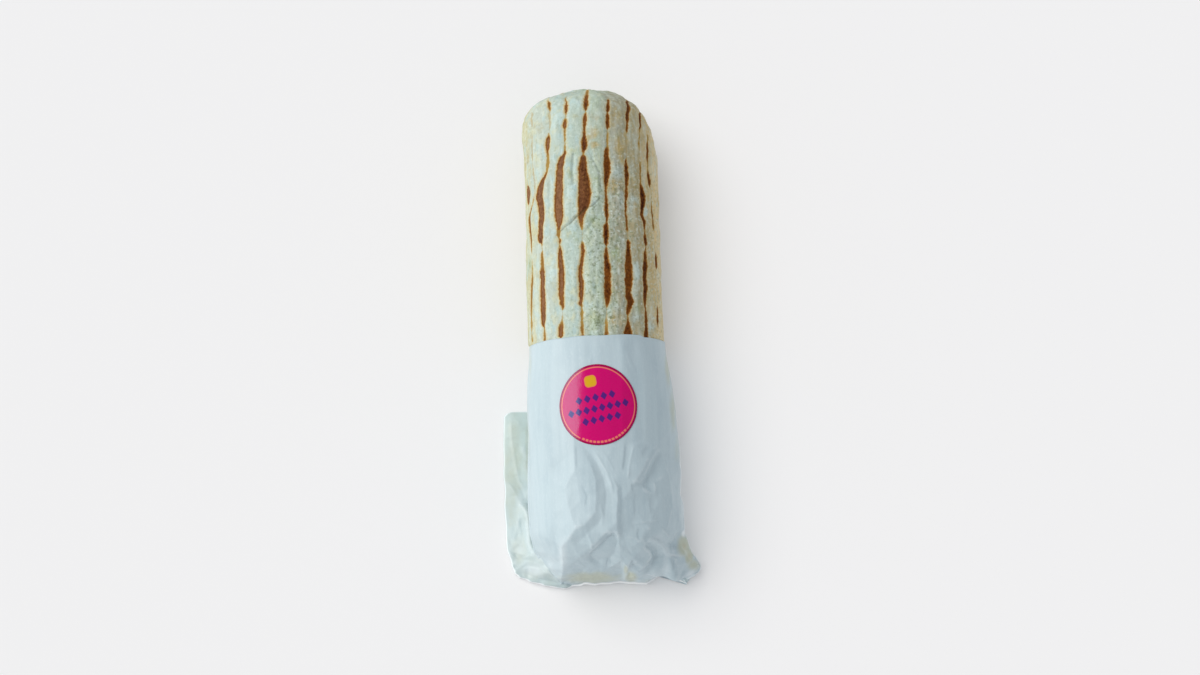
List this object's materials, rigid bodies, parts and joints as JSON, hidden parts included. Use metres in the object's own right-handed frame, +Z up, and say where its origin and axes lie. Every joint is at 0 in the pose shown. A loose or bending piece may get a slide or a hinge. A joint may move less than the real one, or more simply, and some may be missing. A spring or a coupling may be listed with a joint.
{
  "type": "falafel wrap",
  "caption": "Toasted falafel wrap: a flatbread roll with dark grill marks, its lower half in a white paper bag folded under its end, with a round magenta label.",
  "frame": {"origin": "centre of the object's bounding box, at the height of the table that it lies on", "axes": "+Z up from the table; the roll lies along Y, its bare toasted end at +Y and the bag's fold at -Y; +X is to the right of the label as it is read"},
  "size_m": [0.0952, 0.239, 0.0598],
  "materials": {
    "toasted_flatbread": null,
    "greaseproof_paper": "satin, thin creased white greaseproof paper",
    "printed_label": "gloss, coated paper sticker"
  },
  "bodies": {
    "root": {"flatbread_roll": "toasted_flatbread", "paper_bag": "greaseproof_paper", "round_label": "printed_label"}
  },
  "joints": []
}
